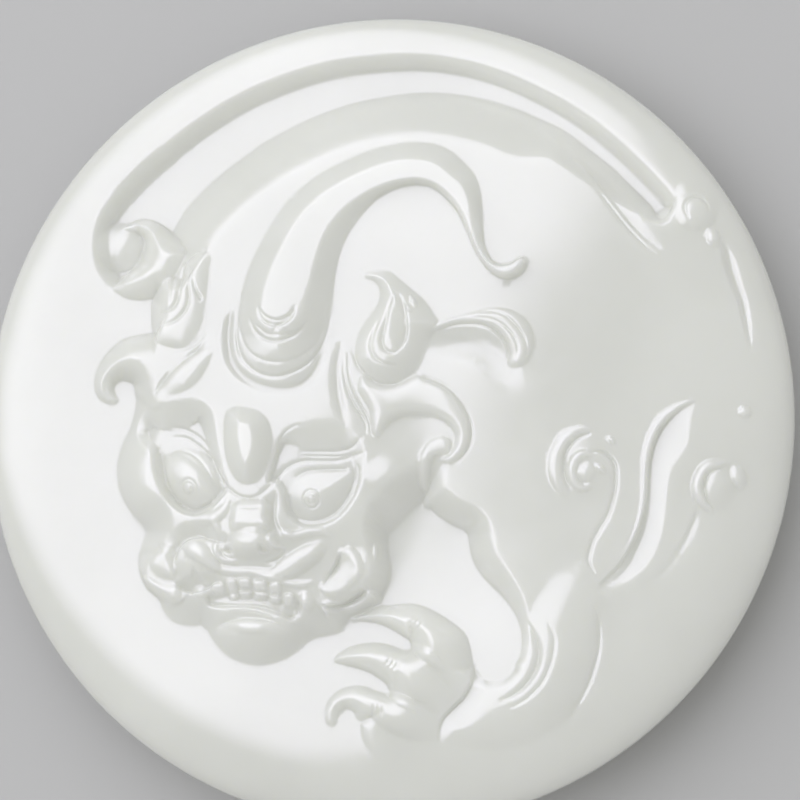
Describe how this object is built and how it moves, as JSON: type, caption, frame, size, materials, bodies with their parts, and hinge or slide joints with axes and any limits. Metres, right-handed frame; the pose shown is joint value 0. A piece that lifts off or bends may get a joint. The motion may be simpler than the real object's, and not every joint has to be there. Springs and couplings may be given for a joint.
{
  "type": "jade pendant",
  "caption": "Round carved jade pendant: a horned beast in low relief curled round a domed disc, with a slanting cord tunnel in its flat back.",
  "frame": {"origin": "centre of the flat back, on the surface the pendant lies on", "axes": "+Z out of the carved face, +Y to the top of the design, +X to the viewer's right"},
  "size_m": [0.056, 0.056, 0.0117],
  "materials": {
    "jade": "polished pale grey white nephrite, waxy gloss, slightly translucent"
  },
  "bodies": {
    "root": {"jade_disc": "jade"}
  },
  "joints": []
}
